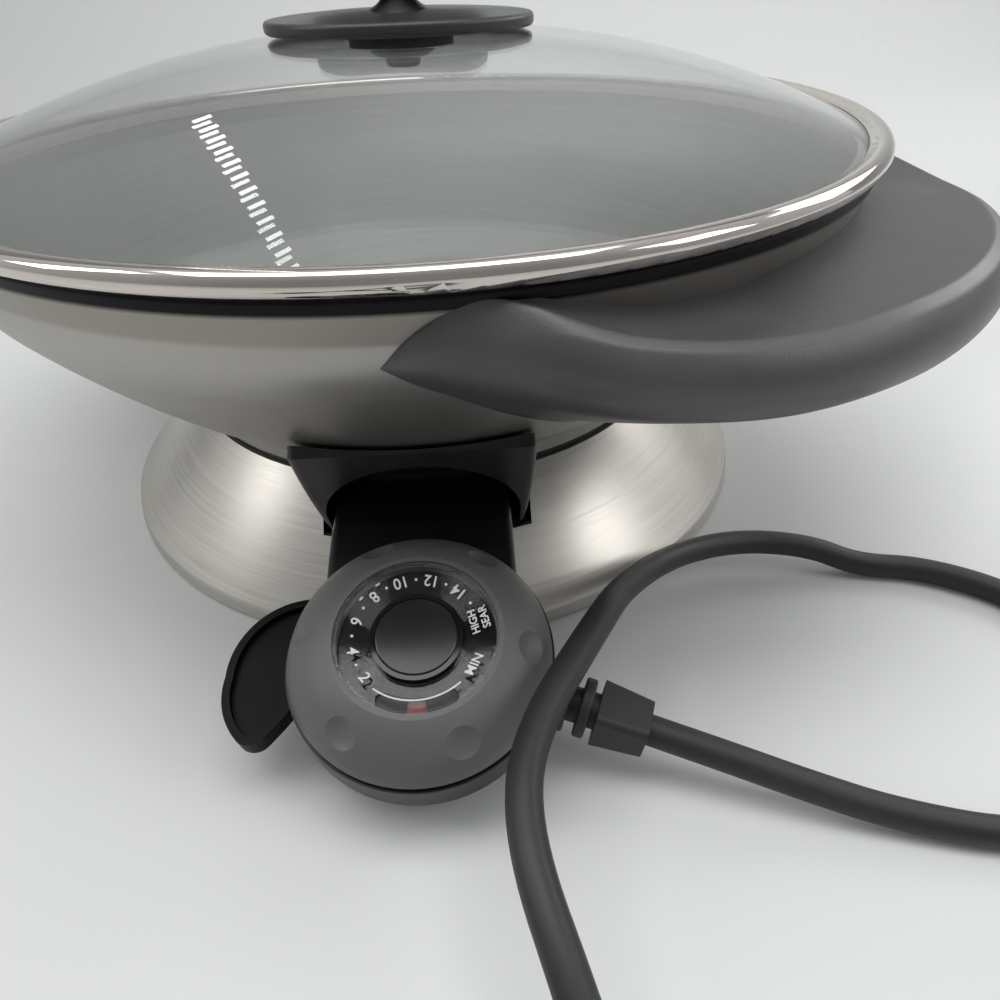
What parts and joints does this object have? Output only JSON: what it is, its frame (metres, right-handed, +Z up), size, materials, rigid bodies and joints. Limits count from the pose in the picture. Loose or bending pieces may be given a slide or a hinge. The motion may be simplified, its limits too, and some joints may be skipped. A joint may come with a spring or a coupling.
{
  "type": "electric wok",
  "caption": "Electric wok: flared steel stand, wide bowl, lift-off glass dome lid with vent knob, crescent handles, and a plug-in heat control with dial, release lever and cord.",
  "frame": {"origin": "on the bowl's vertical axis, at the underside of the stand's foot ring (the table)", "axes": "+Z up; -Y is the front, where the heat control plugs in along +Y; +X is to the right seen from the front"},
  "size_m": [0.441, 0.616, 0.2102],
  "materials": {
    "coated_aluminium": "satin, faint concentric lines",
    "brushed_stainless": "brushed",
    "polished_stainless": "polished",
    "plated_steel": "zinc plated",
    "screw_steel": "plain",
    "element_sheath": "oxidised matte",
    "contact_brass": "plain",
    "ceramic": "glazed",
    "dark_plastic": "matte",
    "hood_plastic": "fine grain",
    "handle_plastic": "satin, fine grain",
    "lever_plastic": "matte",
    "dial_plastic": "matte",
    "dial_ring_plastic": "satin",
    "gloss_black": "gloss",
    "washer_black": "matte",
    "foot_rubber": "matte",
    "cord_rubber": "matte",
    "red_lens": "clear red",
    "lamp_glass": "clear",
    "clear_window": "clear",
    "lid_glass": "clear"
  },
  "bodies": {
    "base": {"wok_bowl": "coated_aluminium", "stand_shell": "brushed_stainless", "stand_frame": "dark_plastic", "stand_foot_ring": "foot_rubber", "lock_cup": "plated_steel", "heating_element": "element_sheath", "terminal_pins": "plated_steel", "terminal_block": "ceramic", "sensor_guide_tube": "plated_steel", "probe_socket_hood": "hood_plastic", "hood_screws": "screw_steel", "right_handle_grip": "handle_plastic", "right_handle_bracket": "plated_steel", "right_handle_screws": "screw_steel", "left_handle_grip": "handle_plastic", "left_handle_bracket": "plated_steel", "left_handle_screws": "screw_steel"},
    "stand_lock": {"lock_spindle": "plated_steel", "lock_knob": "dark_plastic"},
    "lid": {"lid_glass": "lid_glass", "lid_rim": "polished_stainless", "lid_lower_washer": "washer_black"},
    "lid_knob": {"lid_vent_washer": "washer_black", "knob_wing": "handle_plastic", "knob_post": "handle_plastic", "knob_grip": "handle_plastic", "knob_screw": "screw_steel", "lid_nut": "dark_plastic"},
    "heat_control": {"probe_upper_housing": "hood_plastic", "probe_lower_housing": "hood_plastic", "probe_screws": "screw_steel", "thermostat": "ceramic", "indicator_lens": "red_lens", "indicator_lamp": "lamp_glass", "probe_contact_block": "ceramic", "probe_contacts": "contact_brass", "sensor_rod": "polished_stainless", "lever_pin": "plated_steel", "lever_spring": "screw_steel", "cord_bend_relief": "cord_rubber", "cord_sleeve": "cord_rubber", "cord": "cord_rubber", "cord_tail": "cord_rubber", "cord_coil": "cord_rubber", "coil_tie": "washer_black", "plug_body": "cord_rubber", "plug_blades": "contact_brass", "plug_ground_pin": "contact_brass"},
    "dial": {"dial_skirt": "dial_plastic", "dial_window": "clear_window", "dial_hub": "dial_ring_plastic", "dial_cap": "gloss_black", "dial_shaft": "dark_plastic"},
    "lever": {"release_lever": "lever_plastic"}
  },
  "joints": [
    {"name": "lid_lift", "type": "slide", "parent": "base", "child": "lid", "axis": [0, 0, 1], "range_m": [0, 0.12]},
    {"name": "vent_knob_turn", "type": "hinge", "parent": "lid", "child": "lid_knob", "pos_m": [0, 0, 0.19], "axis": [0, 0, 1], "range_deg": [0, 45]},
    {"name": "heat_control_pull", "type": "slide", "parent": "base", "child": "heat_control", "axis": [0, -1, 0], "range_m": [0, 0.06]},
    {"name": "dial_turn", "type": "hinge", "parent": "heat_control", "child": "dial", "pos_m": [0, -0.186, 0.038], "axis": [0, -0.289, 0.9573], "range_deg": [-66, 255]},
    {"name": "lever_press", "type": "hinge", "parent": "heat_control", "child": "lever", "pos_m": [-0.025, -0.16646, 0.03554], "axis": [0, -0.289, 0.9573], "range_deg": [0, 10], "stiffness_Nm_per_rad": 0.15, "springref_deg": -11.46},
    {"name": "lock_turn", "type": "hinge", "parent": "base", "child": "stand_lock", "pos_m": [0, 0, 0.01], "axis": [0, 0, 1], "range_deg": [0, 90]}
  ]
}
